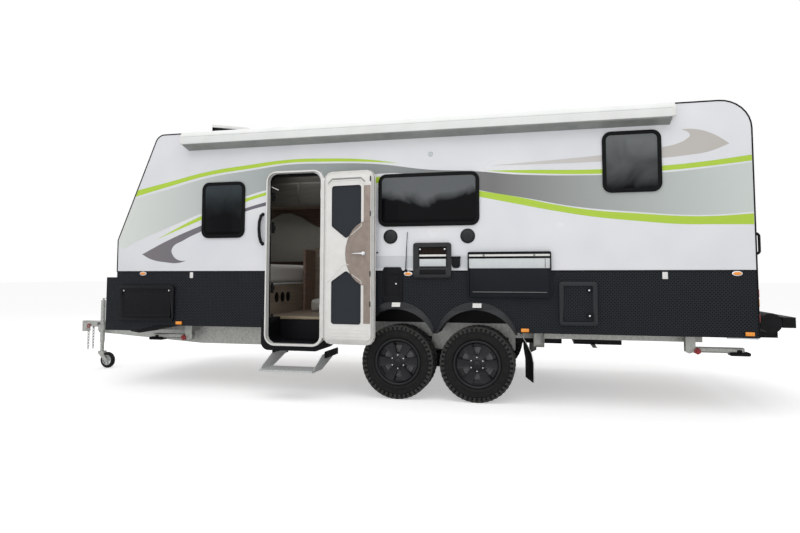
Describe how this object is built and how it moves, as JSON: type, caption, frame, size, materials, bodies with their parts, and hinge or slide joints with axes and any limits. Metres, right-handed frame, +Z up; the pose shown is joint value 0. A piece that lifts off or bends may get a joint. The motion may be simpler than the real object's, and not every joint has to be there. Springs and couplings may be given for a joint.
{
  "type": "travel caravan",
  "caption": "Travel caravan on close-set axles with raked front, checker-plate lower walls, awning case, open entry door, slide-out step, A-frame drawbar and jockey wheel.",
  "frame": {"origin": "on the ground, under the middle of the whole outline", "axes": "+X to the rear, +Y away from the door side, +Z up"},
  "size_m": [9.022, 2.815, 3.3012],
  "materials": {
    "white_panel": "satin white skin",
    "black_checker": "black checker plate",
    "galvanised": "hot-dip galvanised",
    "black_steel": "black paint",
    "aluminium": "mill finish",
    "black_plastic": "moulded, matt",
    "white_plastic": "moulded, gloss",
    "rubber": "moulded rubber",
    "black_alloy": "gloss black cast alloy",
    "tinted_acrylic": "dark tint",
    "board": "laminated board",
    "plywood": "sandwich floor",
    "lens": "amber lens",
    "linen": "woven bed linen"
  },
  "bodies": {
    "caravan": {"chassis_rails": "galvanised", "cross_members": "galvanised", "drawbar": "galvanised", "coupling": "galvanised", "jockey_post": "galvanised", "safety_chains": "galvanised", "axles": "black_steel", "leaf_springs": "black_steel", "chassis_brackets": "galvanised", "water_tanks": "black_plastic", "mud_flaps": "black_plastic", "rear_bumper": "black_steel", "floor_panel": "plywood", "step_well": "black_plastic", "wheel_boxes": "black_plastic", "side_wall_left": "white_panel", "side_wall_right": "white_panel", "side_skirt_left": "black_checker", "side_skirt_right": "black_checker", "front_wall": "white_panel", "front_boot": "black_checker", "rear_wall": "white_panel", "rear_skirt": "black_checker", "roof_panel": "white_panel", "door_frame": "white_plastic", "window_frames": "black_plastic", "window_panes": "tinted_acrylic", "wheel_arch_flares": "black_plastic", "lid_frames": "black_plastic", "awning_cassette": "aluminium", "roof_fittings": "white_plastic", "outside_fittings": "black_plastic", "lamps": "lens", "furniture": "board", "bedding": "linen"},
    "wheel_front_left": {"tyre_front_left": "rubber", "rim_front_left": "black_alloy"},
    "wheel_front_right": {"tyre_front_right": "rubber", "rim_front_right": "black_alloy"},
    "wheel_rear_left": {"tyre_rear_left": "rubber", "rim_rear_left": "black_alloy"},
    "wheel_rear_right": {"tyre_rear_right": "rubber", "rim_rear_right": "black_alloy"},
    "door": {"entry_door": "white_plastic", "screen_door": "white_plastic", "door_lever": "aluminium"},
    "step": {"entry_step": "aluminium"},
    "boot_hatch_left": {"boot_lid_left": "black_checker"},
    "boot_hatch_right": {"boot_lid_right": "black_checker"},
    "locker_hatch": {"locker_lid": "black_checker"},
    "service_hatch": {"service_lid": "white_panel"},
    "battery_hatch": {"battery_lid": "black_checker"},
    "table": {"picnic_table": "white_panel"},
    "leg_front_left": {"stabiliser_front_left": "galvanised"},
    "leg_front_right": {"stabiliser_front_right": "galvanised"},
    "leg_rear_left": {"stabiliser_rear_left": "galvanised"},
    "leg_rear_right": {"stabiliser_rear_right": "galvanised"},
    "jockey_inner": {"jockey_slide": "galvanised"},
    "jockey_caster": {"jockey_fork": "galvanised"},
    "jockey_roller": {"jockey_wheel": "rubber"}
  },
  "joints": [
    {"name": "wheel_front_left_spin", "type": "hinge", "parent": "caravan", "child": "wheel_front_left", "pos_m": [0.524, -0.925, 0.3875], "axis": [0, 1, 0], "continuous": true},
    {"name": "wheel_front_right_spin", "type": "hinge", "parent": "caravan", "child": "wheel_front_right", "pos_m": [0.524, 1.21, 0.3875], "axis": [0, 1, 0], "continuous": true},
    {"name": "wheel_rear_left_spin", "type": "hinge", "parent": "caravan", "child": "wheel_rear_left", "pos_m": [1.364, -0.925, 0.3875], "axis": [0, 1, 0], "continuous": true},
    {"name": "wheel_rear_right_spin", "type": "hinge", "parent": "caravan", "child": "wheel_rear_right", "pos_m": [1.364, 1.21, 0.3875], "axis": [0, 1, 0], "continuous": true},
    {"name": "entry_door_hinge", "type": "hinge", "parent": "caravan", "child": "door", "pos_m": [-0.314, -1.1265, 0.533], "axis": [0, 0, 1], "range_deg": [-176, 0]},
    {"name": "entry_step_slide", "type": "slide", "parent": "caravan", "child": "step", "axis": [0, 1, 0], "range_m": [0, 0.33]},
    {"name": "boot_lid_left_hinge", "type": "hinge", "parent": "caravan", "child": "boot_hatch_left", "pos_m": [-2.856, -1.0988, 0.812], "axis": [1, 0, 0], "range_deg": [0, 100]},
    {"name": "boot_lid_right_hinge", "type": "hinge", "parent": "caravan", "child": "boot_hatch_right", "pos_m": [-2.856, 1.3838, 0.812], "axis": [-1, 0, 0], "range_deg": [0, 100]},
    {"name": "locker_lid_hinge", "type": "hinge", "parent": "caravan", "child": "locker_hatch", "pos_m": [2.192, -1.0988, 0.852], "axis": [1, 0, 0], "range_deg": [0, 100]},
    {"name": "service_lid_hinge", "type": "hinge", "parent": "caravan", "child": "service_hatch", "pos_m": [0.728, -1.0988, 1.394], "axis": [1, 0, 0], "range_deg": [0, 100]},
    {"name": "battery_lid_hinge", "type": "hinge", "parent": "caravan", "child": "battery_hatch", "pos_m": [0.35, -1.0988, 1.088], "axis": [1, 0, 0], "range_deg": [0, 100]},
    {"name": "picnic_table_hinge", "type": "hinge", "parent": "caravan", "child": "table", "pos_m": [1.287, -1.1148, 1.084], "axis": [1, 0, 0], "range_deg": [0, 90]},
    {"name": "stabiliser_front_left_swing", "type": "hinge", "parent": "caravan", "child": "leg_front_left", "pos_m": [-2.116, -0.7875, 0.578], "axis": [0, -1, 0], "range_deg": [0, 72]},
    {"name": "stabiliser_front_right_swing", "type": "hinge", "parent": "caravan", "child": "leg_front_right", "pos_m": [-2.116, 1.0725, 0.578], "axis": [0, -1, 0], "range_deg": [0, 72]},
    {"name": "stabiliser_rear_left_swing", "type": "hinge", "parent": "caravan", "child": "leg_rear_left", "pos_m": [3.444, -0.7875, 0.578], "axis": [0, 1, 0], "range_deg": [0, 72]},
    {"name": "stabiliser_rear_right_swing", "type": "hinge", "parent": "caravan", "child": "leg_rear_right", "pos_m": [3.444, 1.0725, 0.578], "axis": [0, 1, 0], "range_deg": [0, 72]},
    {"name": "jockey_wind", "type": "slide", "parent": "caravan", "child": "jockey_inner", "axis": [0, 0, 1], "range_m": [0, 0.12]},
    {"name": "jockey_swivel", "type": "hinge", "parent": "jockey_inner", "child": "jockey_caster", "pos_m": [-4.066, 0.0125, 0.234], "axis": [0, 0, 1], "continuous": true},
    {"name": "jockey_wheel_spin", "type": "hinge", "parent": "jockey_caster", "child": "jockey_roller", "pos_m": [-3.966, 0.0125, 0.11], "axis": [0, 1, 0], "continuous": true}
  ]
}
